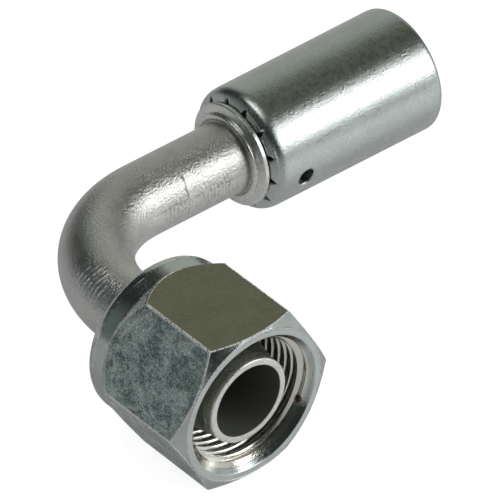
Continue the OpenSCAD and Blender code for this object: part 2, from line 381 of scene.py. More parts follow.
def softened(outline):
    """Round the corners of a closed outline of (along, out, radius), with each straight held flat.

    Every corner gives as many points, each with whether it is on the rounding.
    """
    points = []
    corners = [Vector(corner[:2]) for corner in outline]
    for index, corner in enumerate(corners):
        radius = outline[index][2]
        back = corners[index - 1] - corner
        ahead = corners[(index + 1) % len(corners)] - corner
        half = back.angle(ahead) / 2
        reach = radius / math.tan(half)
        sweep = math.pi - 2 * half
        backwards = back.normalized()
        onwards = ahead.normalized()
        middle = corner + (backwards + onwards).normalized() * radius / math.sin(half)
        start = corner + backwards * reach - middle
        end = corner + onwards * reach - middle
        points.append((corner + backwards * (reach + min(straight_hold, 0.2 * back.length)), False))
        for step in range(arc_steps + 1):
            part = step / arc_steps
            arc = start * math.sin((1 - part) * sweep) + end * math.sin(part * sweep)
            points.append((middle + arc / math.sin(sweep), True))
        points.append((corner + onwards * (reach + min(straight_hold, 0.2 * ahead.length)), False))
    return points


def on_nut_axis(along, out, angle):
    """Point along the nut's axis and out from it, at an angle round it."""
    return Vector((out * math.cos(angle), along, out * math.sin(angle)))


def on_hose_axis(along, out, angle):
    """Point along the hose's axis and out from it, at an angle round it."""
    return Vector((along, hose_axis_y + out * math.cos(angle), out * math.sin(angle)))


def bridged(first, second):
    """Faces between two closed rings of points, as many on each."""
    return list(zip(first, first[1:] + first[:1], second[1:] + second[:1], second))


def loops(rows, count):
    """Faces between closed rows of points, the last row joined to the first."""
    rings = [list(range(row * count, (row + 1) * count)) for row in range(rows)]
    faces = []
    for first, second in zip(rings, rings[1:] + rings[:1]):
        faces += bridged(first, second)
    return faces


def spun(name, rows, place):
    """Spin a closed outline of (along, out) about an axis into a solid."""
    points = [
        place(along, out, math.tau * column / columns)
        for along, out in rows
        for column in range(columns)
    ]
    return new_piece(name, points, loops(len(rows), columns))


def turned(name, outline, place):
    """Spin a closed outline about an axis into a solid, its edges broken."""
    return spun(name, [point for point, edge in softened(outline)], place)


def out_from(place, axis):
    """Distance out from an axis through the origin, 0 for X and 1 for Y."""
    return vectors("LENGTH", vectors("MULTIPLY", place, (0, 1, 1) if axis == 0 else (1, 0, 1)))


def from_axis(place, middle, axis):
    """Distance of each point along an axis and out from it, 0 for X and 1 for Y."""
    return separated(place)[axis], out_from(vectors("SUBTRACT", place, middle), axis)


def turned_steel(name, middle, axis, bore_r, shade_from):
    """Bright plated steel with turning marks and nicks, with painted shade further in, and a dull
    oxide bore painted dark.
    """
    material, shader, place = metal(name, (0.84, 0.84, 0.82), 0.30)
    along, out = from_axis(place, middle, axis)
    grain = noise(place, 0.5 * mm, detail=4)
    # Painted shade: darker further in, where the part sits inside the nut or the ferrule. The bore is
    # dull oxide, painted darker and less metallic still as its shade.
    shaded_further_in = spread(along, shade_from, shade_from + 0.6 * mm)
    inside = spread(out, bore_r + 0.05 * mm, bore_r + 0.2 * mm, 1, 0)
    patches = spread(noise(place, 3 * mm), 0.3, 0.7)
    colour = tinted(patches, (0.78, 0.78, 0.755), (0.88, 0.88, 0.865))
    colour = tinted(spread(grain, 0.34, 0.46, 0.5, 0), colour, (0.45, 0.45, 0.43))
    colour = tinted(shaded_further_in, colour, (0.46, 0.49, 0.45))
    colour = tinted(inside, colour, (0.13, 0.14, 0.125))
    rough = spread(noise(place, 0.8 * mm), 0.3, 0.7, 0.24, 0.36)
    feed(shader, {
        "Base Color": colour,
        "Metallic": maths("MULTIPLY_ADD", inside, -0.8, 1),
        "Roughness": maths("MULTIPLY_ADD", inside, 0.2, rough),
    })
    raised(shader, noise(combined(X=along, Y=out), 0.25 * mm, detail=2), 0.02 * mm)
    raised(shader, grain, 0.035 * mm)
    nicks = spread(noise(place, 1.3 * mm, detail=2), 0.66, 0.74)
    raised(shader, nicks, -0.05 * mm)
    return material


head_outline = [
    (0, nose_bore_r, 0.25 * mm),
    (0, pilot_r, 0.35 * mm),
    (pilot_len, pilot_r, 0.3 * mm),
    (cone_end, cone_end_r, 0.3 * mm),
    (shoulder_start, shoulder_r, 0.3 * mm),
    (shoulder_end, shoulder_r, 0.3 * mm),
    (shoulder_end + shoulder_r - shank_r, shank_r, 0.3 * mm),
    (head_len, shank_r, 0.3 * mm),
    (head_len, tube_r + braze_w, 0.05 * mm),
    (head_len - braze_w, socket_r, 0.05 * mm),
    (socket_start, socket_r, 0.05 * mm),
    (socket_start, tube_bore_r, 0.1 * mm),
    (nose_depth, tube_bore_r, 0.3 * mm),
    (nose_depth, nose_bore_r, 0.4 * mm),
]
sealing_head = turned("head_turned", head_outline, on_nut_axis)
head_steel = turned_steel("head_steel", (0, 0, 0), 1, nose_bore_r, 0.4 * mm)
sealing_head.data.materials.append(head_steel)
settle(sealing_head)
fit(sealing_head, "hose_end", "sealing_head")


# ---- Braze in the head's socket --------------------------
# Filler metal that was laid round the tube as a ring and ran into the socket when it was brazed.
# What is left shows as a small hollow fillet round the tube, plated over.


def braze_metal():
    """Plated-over filler metal, grey with a trace of yellow, and uneven."""
    material, shader, place = metal("braze", (0.50, 0.49, 0.45), 0.36)
    patches = spread(noise(place, 1.5 * mm), 0.3, 0.7)
    feed(shader, {"Base Color": tinted(patches, (0.40, 0.39, 0.35), (0.56, 0.55, 0.51))})
    raised(shader, noise(place, 0.8 * mm), 0.08 * mm)
    return material


def braze_fillet(name, mouth, inwards, place):
    """Ring of filler in a socket's mouth, its face drawn hollow by up to a quarter of its width."""
    rows = [(mouth, tube_r + braze_w)]
    for step in range(1, arc_steps):
        part = step / arc_steps
        hollow = 0.25 * braze_w * math.sin(math.pi * part)
        rows.append((mouth + inwards * hollow, tube_r + braze_w - braze_w * part))
    rows += [(mouth, tube_r), (mouth + inwards * braze_w, tube_r)]
    return spun(name, rows, place)


filler = braze_metal()
head_braze = braze_fillet("braze_at_head", head_len, -1, on_nut_axis)
head_braze.data.materials.append(filler)
settle(head_braze)
fit(head_braze, "hose_end", "head_braze_ring")


# ---- Swivel nut ------------------------------------------
# Hexagon union nut, forged, machined and bright zinc plated. It is slipped over the tube before
# bending, turns freely on the head and pulls on its shoulder. A coarse thread is cut inside.

nut_low, nut_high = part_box("swivel_nut")
nut_front = nut_low.y
nut_rear = nut_high.y
sides = 6
side_angle = math.tau / sides
half_side = side_angle / 2
flat_r = nut_high.z
corner_r = flat_r / math.cos(half_side)
corner_round = 0.5 * mm
corner_glint_reach = math.radians(0.8)
corner_angles = [math.radians(part) for part in (0, 0.25, 0.5, 0.72, 1.1, 1.9)]
columns_each_side = 30
front_flat_r = 17.65 * mm
front_slope = math.tan(math.radians(30))
corner_end = nut_front + (corner_r - front_flat_r) * front_slope + 19.8 * mm
rear_slope = 1 / math.tan(math.radians(32))
collar_r = 17.9 * mm
collar_round = 3.2 * mm
lead_in_r = 16.2 * mm
lead_in_len = 2.8 * mm
thread_minor_r = mounts["nut_thread"]["r_mm"] * mm
thread_pitch = 2 * mm
thread_depth = 0.5413 * thread_pitch
thread_major_r = thread_minor_r + thread_depth
thread_end = nut_front + lead_in_len + mounts["nut_thread"]["length_mm"] * mm
lead_in_slope = (lead_in_r - thread_minor_r) / lead_in_len
tooth_base = 0.94
tooth_top = 0.25
tooth_round = 0.06
tooth_sunk = 0.12
swivel_gap = 0.3 * mm
relief_r = thread_major_r + swivel_gap
rear_bore_r = shank_r + swivel_gap
thrust_sum = shoulder_r + shoulder_end + swivel_gap * math.sqrt(2)
rust_spot = (13.2 * mm, 0.1 * mm, -6.4 * mm)
thread_sizes = {
    "Bore Radius": thread_major_r,
    "Pitch": thread_pitch,
    "Depth": thread_depth,
    "Start": nut_front + 1.2 * mm,
    "Turns": (thread_end - nut_front) / thread_pitch - 1.5,
    "Front": nut_front,
    "Lead-in Radius": lead_in_r,
    "Lead-in Slope": lead_in_slope,
}


def hexagon_r(from_corner):
    """Distance out to the hexagon's side, or to its rounded corner, at an angle from a corner."""
    middle = (flat_r - corner_round) / math.cos(half_side)
    reach = math.atan2(corner_round / 2, middle + corner_round * math.cos(half_side))
    if abs(from_corner) >= reach:
        return flat_r / math.cos(half_side - abs(from_corner))
    inside = math.sqrt(corner_round**2 - (middle * math.sin(from_corner)) ** 2)
    return middle * math.cos(from_corner) + inside


def side_angles():
    """Angles from one corner to the next, close together on the rounded corners."""
    first = corner_angles[-1]
    rest = columns_each_side - 2 * len(corner_angles) + 1
    span = side_angle - 2 * first
    middle = [first + span * step / (rest + 1) for step in range(1, rest + 1)]
    return corner_angles + middle + [side_angle - angle for angle in reversed(corner_angles[1:])]


def nut_outline(out):
    """Closed outline of the nut at an angle where its hexagon is `out` from the axis."""
    return [
        (nut_front, lead_in_r, 0.2 * mm),
        (nut_front, front_flat_r, 0.25 * mm),
        (nut_front + (out - front_flat_r) * front_slope, out, 0.25 * mm),
        (corner_end + (corner_r - out) * rear_slope, out, 0.25 * mm),
        (corner_end + (corner_r - collar_r) * rear_slope, collar_r, 0.25 * mm),
        (nut_rear, collar_r, collar_round),
        (nut_rear, rear_bore_r, 0.4 * mm),
        (thrust_sum - rear_bore_r, rear_bore_r, 0.2 * mm),
        (thrust_sum - relief_r, relief_r, 0.2 * mm),
        (thread_end + relief_r - thread_major_r, relief_r, 0.2 * mm),
        (thread_end, thread_major_r, 0.1 * mm),
        (nut_front + (lead_in_r - thread_major_r) / lead_in_slope, thread_major_r, 0.1 * mm),
    ]


def nut_strip(angle):
    """Points of the nut's outline at an angle, each with its wear and painted glint: 1 on the outer
    edges, else 0.
    """
    front_edge, chamfer_edge, rear_edge, bore_edge = (1, 2, 3, 6)
    from_corner = (angle + half_side) % side_angle - half_side
    on_corner = abs(from_corner) < corner_glint_reach
    along_corner = ((chamfer_edge, each_corner - 1), (rear_edge, 0))
    strip = []
    for index, (point, edge) in enumerate(softened(nut_outline(hexagon_r(from_corner)))):
        part, step = divmod(index, each_corner)
        worn_and_glinting = edge and part in (front_edge, chamfer_edge, rear_edge, bore_edge)
        worn_and_glinting = worn_and_glinting or on_corner and (part, step) in along_corner
        strip.append((on_nut_axis(*point, angle), float(worn_and_glinting)))
    return strip


def nut_body():
    """Nut without its thread, with the attribute for wear and painted glint on its points."""
    angles = [side * side_angle + angle for side in range(sides) for angle in side_angles()]
    strips = [nut_strip(angle) for angle in angles]
    rows = len(strips[0])
    marked = [strip[row] for row in range(rows) for strip in strips]
    body = new_piece("nut_hexagon", [point for point, worn_and_glinting in marked], loops(rows, len(angles)))
    wear_and_glint = body.data.attributes.new("wear_and_glint", "FLOAT", "POINT")
    wear_and_glint.data.foreach_set("value", [worn_and_glinting for point, worn_and_glinting in marked])
    return body


def together(*shapes):
    """Join shapes into one."""
    tree = tree_of(*shapes)
    join = tree.nodes.new("GeometryNodeJoinGeometry")
    for shape in shapes:
        tree.links.new(shape, join.inputs[0])
    return join.outputs[0]


def thread_tree():
    """Wind one tooth round the bore as a helix, trim it to the lead-in cone and join it on."""
    tree, given = new_tree("internal_thread", dict.fromkeys(thread_sizes, "Float"))
    pitch = given["Pitch"]
    depth = given["Depth"]
    middle_r = maths("SUBTRACT", given["Bore Radius"], times(depth, (1 - tooth_sunk) / 2))
    spiral = {
        "Resolution": 120,
        "Rotations": given["Turns"],
        "Start Radius": middle_r,
        "End Radius": middle_r,
        "Height": times(given["Turns"], pitch),
        "Reverse": True,
    }
    helix = shape_node(tree, "CurveSpiral", spiral)
    upright = shape_node(tree, "SetCurveNormal", {"Curve": helix}, mode="Z_UP")
    profile = {
        "Height": maths("ADD", depth, times(depth, tooth_sunk)),
        "Bottom Width": times(pitch, tooth_base),
        "Top Width": times(pitch, tooth_top),
        "Offset": 0,
    }
    tooth = shape_node(tree, "CurvePrimitiveQuadrilateral", profile, mode="TRAPEZOID")
    corners = {"Curve": tooth, "Radius": times(pitch, tooth_round), "Count": 3}
    eased = shape_node(tree, "FilletCurve", corners, mode="POLY")
    inwards = shape_node(tree, "Transform", {"Geometry": eased, "Rotation": (0, 0, math.pi / 2)})
    sweep = {"Curve": upright, "Profile Curve": inwards, "Fill Caps": True}
    along_bore = {
        "Geometry": shape_node(tree, "CurveToMesh", sweep),
        "Rotation": (-math.pi / 2, 0, 0),
        "Translation": combined(Y=given["Start"]),
    }
    laid = shape_node(tree, "Transform", along_bore)
    where = shape_node(tree, "InputPosition")
    out = out_from(where, 1)
    behind = maths("SUBTRACT", separated(where)["Y"], given["Front"])
    cone = maths("SUBTRACT", given["Lead-in Radius"], times(behind, given["Lead-in Slope"]))
    push = maths("DIVIDE", maths("MAXIMUM", out, cone), out)
    pushed = vectors("MULTIPLY", where, combined(X=push, Y=1, Z=push))
    trimmed = shape_node(tree, "SetPosition", {"Geometry": laid, "Position": pushed})
    end_tree(together(trimmed, given["Mesh"]), given["Material"])
    return tree


def clouded(place, cloud, mottle, to_rear):
    """Cloudy zinc as it lies on rolled flats: patches, specks, smears, and a painted highlight as an
    arc near the rear.
    """
    drift = noise(place, 2.8 * mm, detail=2)
    speckle = noise(place, 0.32 * mm, detail=2)
    smear = noise(place, 1.6 * mm, detail=3, stretch=(1, 4, 1.5))
    colour = tinted(spread(mottle, 0.36, 0.62), (0.24, 0.34, 0.33), (0.93, 1, 1))
    colour = tinted(spread(drift, 0.44, 0.6, 0, 0.95), colour, (0.95, 1, 1))
    colour = tinted(spread(cloud, 0.45, 0.62, 0, 0.8), colour, (0.25, 0.29, 0.295))
    colour = tinted(spread(speckle, 0.36, 0.5, 0.75, 0), colour, (0.17, 0.22, 0.215))
    colour = tinted(spread(speckle, 0.54, 0.62, 0, 0.85), colour, (0.97, 1, 1))
    colour = tinted(spread(smear, 0.58, 0.70, 0, 0.85), colour, (0.92, 1, 0.98))
    # Painted highlight: a white arc on the flats near their rear edge.
    arc = stroke(to_rear, spread(drift, 0.3, 0.7, 1.6 * mm, 3 * mm), 0.2 * mm, 0.8 * mm, full=0.95)
    return tinted(times(arc, spread(cloud, 0.48, 0.58, 1, 0)), colour, (1, 1, 1))


def nut_zinc():
    """Bright zinc, cloudy on the rolled flats, with painted olive shade on the top flat and painted
    glints on its worn edges.
    """
    material, shader, place = metal("nut_zinc", (0.58, 0.63, 0.61), 0.20)
    along, out = from_axis(place, (0, 0, 0), 1)
    height = separated(place)["Z"]
    chamfer_at = maths("MULTIPLY_ADD", out, front_slope, nut_front - front_flat_r * front_slope)
    behind = maths("SUBTRACT", along, chamfer_at)
    rear_at = maths("MULTIPLY_ADD", out, -rear_slope, corner_end + corner_r * rear_slope)
    to_rear = maths("SUBTRACT", rear_at, along)
    on_side = spread(out, flat_r - 0.07 * mm, flat_r - 0.02 * mm)
    flats = times(on_side, spread(behind, 0.1 * mm, 0.25 * mm))
    top_flat_shade = times(flats, spread(height, flat_r - 0.3 * mm, flat_r - 0.1 * mm))
    collar_end = nut_rear - collar_round
    cloudy = maths("SUBTRACT", flats, top_flat_shade)
    cloudy = maths("MAXIMUM", cloudy, spread(along, collar_end - 0.3 * mm, collar_end, 0, 0.5))
    in_thread = times(
        spread(out, thread_major_r + 0.2 * mm, thread_major_r + 0.5 * mm, 1, 0),
        spread(along, thread_end, thread_end + 0.5 * mm, 1, 0),
    )
    worn_and_glinting = attribute(place, "wear_and_glint")
    rubbed_glint = noise(place, 0.5 * mm, detail=4)
    # Painted highlight: the worn edges are painted near white and less metallic, standing in for the
    # light they catch.
    bright = times(worn_and_glinting, spread(rubbed_glint, 0.38, 0.5))
    cloud = noise(place, 4 * mm, detail=3)
    tone = spread(cloud, 0.3, 0.7)
    mottle = noise(place, 1.3 * mm, detail=8)

    colour = tinted(tone, (0.52, 0.57, 0.55), (0.59, 0.64, 0.62))
    colour = tinted(cloudy, colour, clouded(place, cloud, mottle, to_rear))
    # Painted shade: the top flat is painted darker and olive, as it looks under the dark room above.
    olive_shade = tinted(tone, (0.285, 0.28, 0.195), (0.33, 0.325, 0.235))
    colour = tinted(top_flat_shade, colour, olive_shade)
    colour = tinted(in_thread, colour, (0.84, 0.83, 0.76))
    colour = tinted(bright, colour, (0.96, 0.97, 0.96))
    colour = tinted(around(place, rust_spot, 1.1 * mm), colour, (0.22, 0.11, 0.07))
    rough = spread(noise(place, 0.8 * mm, detail=3), 0.35, 0.65, 0.13, 0.22)
    rough = maths("MULTIPLY_ADD", flats, 0.06, rough)
    feed(shader, {
        "Base Color": colour,
        "Metallic": maths("MULTIPLY_ADD", bright, -0.7, 1),
        "Roughness": maths("MULTIPLY_ADD", bright, 0.35, rough),
    })
    turning = noise(combined(X=along, Y=out), 0.3 * mm, detail=2)
    raised(shader, times(mottle, cloudy), 0.09 * mm)
    raised(shader, times(turning, maths("SUBTRACT", 1, flats)), 0.012 * mm)
    raised(shader, noise(place, 0.45 * mm, detail=3), 0.022 * mm)
    raised(shader, times(worn_and_glinting, rubbed_glint), 0.25 * mm)
    return material


swivel_nut = nut_body()
zinc = nut_zinc()
swivel_nut.data.materials.append(zinc)
add_tree(swivel_nut, thread_tree(), {**thread_sizes, "Material": zinc})
settle(swivel_nut)
fit(swivel_nut, "nut", "swivel_nut")


# ---- Hose nipple -----------------------------------------
# Turned steel insert: an end land brazed on the tube, a bead and groove that hold the ferrule, a
# face that stops the hose, and a barbed stem that the hose's inner tube is pushed over.

nipple_low, nipple_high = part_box("hose_nipple")
nipple_start = nipple_low.x
nipple_end = nipple_high.x
stem_r = mounts["hose_stem"]["r_mm"] * mm
nipple_bore_r = 4.75 * mm
land_r = 9.8 * mm
land_len = 1.1 * mm
bead_r = nipple_high.z
bead_end = nipple_start + 2.6 * mm
bead_w = 1.2 * mm
groove_r = 10.4 * mm
groove_end = bead_end + 2.5 * mm
stop_r = 11.5 * mm
stop_end = tube_high.x + 2.3 * mm
barb_r = 6.6 * mm
barb_root_r = stem_r - 0.3 * mm
barb_count = 8
barb_pitch = 4 * mm
barb_crest = 0.8 * mm
barb_gap = 0.02 * mm
barbs_start = stop_end + 3 * mm
barb_end = barbs_start + barb_pitch - barb_gap
weld_reach = 0.002 * mm


def mark(piece, name, repeats):
    """Note on a piece's faces whether they are the part that repeats."""
    marks = piece.data.attributes.new(name, "BOOLEAN", "FACE")
    marks.data.foreach_set("value", [repeats] * len(piece.data.polygons))


def joined(name, *pieces):
    """Join loose pieces into one new piece."""
    work = bmesh.new()
    for piece in pieces:
        work.from_mesh(piece.data)
        bpy.data.objects.remove(piece)
    shape = bpy.data.meshes.new(name)
    work.to_mesh(shape)
    work.free()
    return new_object(name, shape)


def repeat_tree():
    """Repeat the marked part of a mesh along and round the hose axis, and weld what meets."""
    inputs = {"Part": "String", "Count": "Int", "Step": "Float", "Turn": "Float", "Axis": "Vector"}
    tree, given = new_tree("repeat_on_hose_axis", inputs)
    marked = shape_node(tree, "InputNamedAttribute", {"Name": given["Part"]}, data_type="BOOLEAN")
    faces = {"Geometry": given["Mesh"], "Selection": marked}
    split = node(tree, "GeometryNodeSeparateGeometry", faces, domain="FACE").outputs
    row = {"Count": given["Count"], "Start Location": (0, 0, 0), "Offset": combined(X=given["Step"])}
    line = shape_node(tree, "MeshLine", row)
    copies = shape_node(tree, "InstanceOnPoints", {"Points": line, "Instance": split["Selection"]})
    turning = {
        "Instances": copies,
        "Rotation": combined(X=times(shape_node(tree, "InputIndex"), given["Turn"])),
        "Pivot Point": given["Axis"],
        "Local Space": False,
    }
    turned_round = shape_node(tree, "RotateInstances", turning)
    whole = together(turned_round, split["Inverted"])
    real = shape_node(tree, "RealizeInstances", {"Geometry": whole})
    welded = shape_node(tree, "MergeByDistance", {"Geometry": real, "Distance": weld_reach})
    end_tree(welded, given["Material"])
    return tree


stem_outline = [
    (nipple_start, tube_r + braze_w, 0.05 * mm),
    (nipple_start, land_r, 0.45 * mm),
    (nipple_start + land_len, land_r, 0.1 * mm),
    (bead_end - bead_w, bead_r, 0.3 * mm),
    (bead_end, bead_r, 0.3 * mm),
    (bead_end, groove_r, 0.2 * mm),
    (groove_end, groove_r, 0.2 * mm),
    (groove_end, stop_r, 0.2 * mm),
    (stop_end, stop_r, 0.2 * mm),
    (stop_end, stem_r, 0.3 * mm),
    (nipple_end, stem_r, 0.3 * mm),
    (nipple_end, nipple_bore_r, 0.2 * mm),
    (tube_high.x, nipple_bore_r, 0.1 * mm),
    (tube_high.x, socket_r, 0.1 * mm),
    (nipple_start + braze_w, socket_r, 0.05 * mm),
]
stem = turned("stem", stem_outline, on_hose_axis)
barb_outline = [
    (barbs_start, barb_root_r, 0.02 * mm),
    (barbs_start, barb_r, 0.12 * mm),
    (barbs_start + barb_crest, barb_r, 0.12 * mm),
    (barb_end, stem_r, 0.02 * mm),
    (barb_end, barb_root_r, 0.02 * mm),
]
barb = turned("barb", barb_outline, on_hose_axis)
mark(stem, "barb", False)
mark(barb, "barb", True)
hose_nipple = joined("nipple_turned", stem, barb)
nipple_steel = turned_steel("nipple_steel", hose_axis, 0, nipple_bore_r, stop_end)
repeat = repeat_tree()
barbs = {"Part": "barb", "Count": barb_count, "Step": barb_pitch}
add_tree(hose_nipple, repeat, {**barbs, "Axis": hose_axis, "Material": nipple_steel})
settle(hose_nipple)
fit(hose_nipple, "hose_end", "hose_nipple")

nipple_braze = braze_fillet("braze_at_nipple", nipple_start, 1, on_hose_axis)
nipple_braze.data.materials.append(filler)
settle(nipple_braze)
fit(nipple_braze, "hose_end", "nipple_braze_ring")


# ---- Crimp ferrule ---------------------------------------
# Deep-drawn steel shell, satin zinc plated. Its closed end is slit into thirteen tabs that are
# folded in behind the nipple's bead, and ribs inside grip the hose when the shell is crimped.

ferrule_low, ferrule_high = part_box("crimp_ferrule")
fold_start = ferrule_low.x
ferrule_end = ferrule_high.x
mouth_r = ferrule_high.z
neck_r = 13.8 * mm
mouth_round = 1.2 * mm
mouth_chamfer_w = 0.45 * mm
mouth_chamfer_len = 0.6 * mm
ferrule_bore_r = mounts["hose_socket"]["r_mm"] * mm
fold_hole_r = 10.55 * mm
fold_end = fold_start + 2.2 * mm
shoulder_run = 3.6 * mm
neck_start = fold_start + shoulder_run
neck_slope = (mouth_r - neck_r) / (ferrule_end - mouth_round - neck_start)
tab_count = 13
sector = math.tau / tab_count
tab_face_r = 12.7 * mm
tab_rise = 0.75 * mm
tab_lip = 0.25 * mm
tab_edge = 0.8
tab_edge_drop = 0.5 * mm
tab_hollow = 1.5
tab_rows = 12
shoulder_rows = 10
notch_half = 0.42 * mm
notch_taper = 1.8
notch_straight_r = bead_r
notch_root_r = 13.2 * mm
notch_angle = math.radians(19)
near_notch = [0.895, 0.93, 0.965, 0.985, 1]
shares = [-share for share in reversed(near_notch)]
shares += [-0.85 + 1.7 * step / 12 for step in range(13)] + near_notch
bar_tab = 3
bar_angle = notch_angle + (bar_tab + 0.5) * sector
bar_r = 12.35 * mm
bar_w = 1.1 * mm
bar_len = 5.4 * mm
bar_bevel = 0.15 * mm
bar_top = fold_start + 0.38 * mm
bar_slope = math.tan(math.radians(15))
sight_r = 2 * mm
sight_x = fold_start + 8.3 * mm
sight_angle = math.radians(191)
sight_columns_half = 3.7 * mm / neck_r
sight_rows = [sight_x + 0.45 * step * sight_r for step in range(-4, 5)]
body_step = 2 * mm
rib_count = 7
rib_pitch = 4.5 * mm
rib_h = 0.5 * mm
rib_root_r = ferrule_bore_r + 0.15 * mm
ribs_start = sight_x + sight_r + 2 * rib_h


def shoulder_points():
    """Outside of the folded end from its hole outwards: a sloped tab face, then a round shoulder."""
    points = [(fold_start + 0.1 * mm, fold_hole_r), (fold_start + 0.02 * mm, fold_hole_r + 0.1 * mm)]
    reach = tab_face_r - fold_hole_r - tab_lip
    for step in range(tab_rows + 1):
        part = step / tab_rows
        points.append((fold_start + tab_rise * part**tab_hollow, fold_hole_r + tab_lip + reach * part))
    start = Vector(points[-1])
    end = Vector((neck_start, neck_r))
    lead = (start - Vector(points[-2])).normalized()
    knee = start + lead * (end.y - start.y) / lead.y
    for step in range(1, shoulder_rows + 1):
        part = step / shoulder_rows
        curve = start * (1 - part) ** 2 + knee * 2 * part * (1 - part) + end * part**2
        points.append((curve.x, curve.y))
    return points


def notch_gap(out):
    """Half the width of a notch: even up to the bead, then narrowing to nothing at its root."""
    left = (notch_root_r - out) / (notch_root_r - notch_straight_r)
    return notch_half * min(1, max(0, left)) ** notch_taper


def tab_row(along, out, gap, drop):
    """Points across one tab, which is flat and lower at its edges where it has a notch beside it."""
    half = sector / 2 - math.asin(gap / out)
    straight = min(1, gap / notch_half)
    row = []
    for share in shares:
        angle = half * share
        dip = max(0, abs(share) - tab_edge) / (1 - tab_edge)
        chord = out / math.cos(angle) ** straight
        lowered = along + drop * dip**2 * straight
        row.append(on_hose_axis(lowered, chord, notch_angle + sector / 2 + angle))
    return row


def tab_sector():
    """One folded tab with half a notch on each side, from the fold's hole out to the shoulder."""
    rows = [(along, out, notch_gap(out)) for along, out in shoulder_points()]
    root = next(index for index, row in enumerate(rows) if row[2] == 0)
    points = [point for row in rows for point in tab_row(*row, tab_edge_drop)]
    inner = len(points)
    for index in range(root + 1):
        out = fold_hole_r + (ferrule_bore_r - fold_hole_r) * index / root
        points += tab_row(fold_end, out, rows[index][2], 0)
    width = len(shares)
    faces = []
    for row in range(len(rows) - 1):
        for here in range(row * width, (row + 1) * width - 1):
            faces.append((here, here + 1, here + width + 1, here + width))
    for row in range(root):
        for here in range(inner + row * width, inner + (row + 1) * width - 1):
            faces.append((here, here + width, here + width + 1, here + 1))
    for column in range(width - 1):
        faces.append((column, inner + column, inner + column + 1, column + 1))
    for row in range(root):
        first = row * width
        last = first + width - 1
        faces.append((first, first + width, inner + first + width, inner + first))
        faces.append((inner + last, inner + last + width, last + width, last))
    piece = new_piece("tab", points, faces)
    mark(piece, "tab", True)
    return piece


def body_angles():
    """Angles of the columns round the body, the same as those of the thirteen tabs."""
    return [
        notch_angle + sector / 2 + sector * tab + sector / 2 * share
        for tab in range(tab_count)
        for share in shares[:-1]
    ]


def body_rows():
    """Outline of the shell from the shoulder, round the open end and back to the folded end."""
    room = ferrule_end - mouth_round - sight_rows[-1]
    beyond = [sight_rows[-1] + step * body_step for step in range(1, int(room / body_step) + 1)]
    outside = [neck_start, *sight_rows, *beyond]
    rows = [(x, neck_r + neck_slope * (x - neck_start)) for x in outside]
    rim = [
        (*rows[-1], 0.01 * mm),
        (ferrule_end, mouth_r, mouth_round),
        (ferrule_end, ferrule_bore_r + mouth_chamfer_w, 0.2 * mm),
        (ferrule_end - mouth_chamfer_len, ferrule_bore_r, 0.2 * mm),
        (beyond[-1], ferrule_bore_r, 0.01 * mm),
    ]
    rows += [tuple(point) for point, edge in softened(rim)][each_corner : 4 * each_corner]
    rows += [(x, ferrule_bore_r) for x in reversed(sight_rows + beyond)]
    rows.append((fold_end, ferrule_bore_r))
    return rows


def wrapped(angle):
    """The same angle between minus and plus half a turn."""
    return (angle + math.pi) % math.tau - math.pi


def sight_hole_patch(points, faces, angles, rows, out, outwards):
    """Fill a square of the grid with rings that run from its edge to a round hole."""
    span = [
        column for column, angle in enumerate(angles)
        if abs(wrapped(angle - sight_angle)) < sight_columns_half
    ]
    span.sort(key=lambda column: wrapped(angles[column] - sight_angle))
    lines = [
        index for index, (x, r) in enumerate(rows)
        if abs(r - out) < rib_h and sight_rows[0] <= x <= sight_rows[-1]
    ]
    lines.sort(key=lambda index: rows[index][0])
    border = [(lines[0], column) for column in span]
    border += [(line, span[-1]) for line in lines[1:]]
    border += [(lines[-1], column) for column in reversed(span[:-1])]
    border += [(line, span[0]) for line in reversed(lines[1:-1])]
    ring = [line * len(angles) + column for line, column in border]
    # Each ring is so far out to the square, sunk by so many mm and wider by so many than the hole.
    across_rings = [(part / 4, 0, 0.3) for part in (3, 2, 1, 0)]
    edge_rings = [(0, 0.03, 0.25), (0, 0.22, 0.06), (0, 0.3, 0.02), (0, 0.45, 0)]
    for share, sink, wider in across_rings + edge_rings:
        made = list(range(len(points), len(points) + len(border)))
        for line, column in border:
            flat_x = rows[line][0] - sight_x
            flat_w = wrapped(angles[column] - sight_angle) * out
            part = (sight_r + wider * mm) / math.hypot(flat_x, flat_w) * (1 - share) + share
            x = sight_x + flat_x * part
            slope = neck_slope if outwards > 0 else 0
            radius = out + slope * (x - neck_start) - sink * mm * outwards
            points.append(on_hose_axis(x, radius, sight_angle + flat_w * part / out))
        faces += bridged(ring, made)
        ring = made
    return ring, {(line, column) for line in lines[:-1] for column in span[:-1]}


def shell_body():
    """Open shell from the shoulder to the mouth and back inside, with the inspection hole."""
    angles = body_angles()
    rows = body_rows()
    points = [on_hose_axis(x, r, angle) for x, r in rows for angle in angles]
    faces = []
    outer_edge, outer_cells = sight_hole_patch(points, faces, angles, rows, neck_r, 1)
    inner_edge, inner_cells = sight_hole_patch(points, faces, angles, rows, ferrule_bore_r, -1)
    faces += bridged(outer_edge, inner_edge)
    count = len(angles)
    for row in range(len(rows) - 1):
        lower = row if rows[row + 1][0] >= rows[row][0] else row + 1
        here = list(range(row * count, (row + 1) * count))
        there = [index + count for index in here]
        for column, face in enumerate(bridged(here, there)):
            if (row, column) not in outer_cells and (lower, column) not in inner_cells:
                faces.append(face)
    return new_piece("shell", points, faces)


def stand_bar(piece):
    """Raise a low bar on the face of one tab, where the folding tool has a slot."""
    outwards = Vector((0, math.cos(bar_angle), math.sin(bar_angle)))
    across = Vector((0, -math.sin(bar_angle), math.cos(bar_angle)))
    for vertex in piece.data.vertices:
        place = vertex.co - hose_axis
        beyond = place.dot(outwards) - bar_r
        off_side = abs(place.dot(across))
        inside = min(bar_w / 2 - abs(beyond), bar_len / 2 - off_side) / bar_bevel
        top = bar_top + beyond * bar_slope
        if top < vertex.co.x < fold_end - tab_edge_drop:
            vertex.co.x += (top - vertex.co.x) * min(1, max(0, inside))


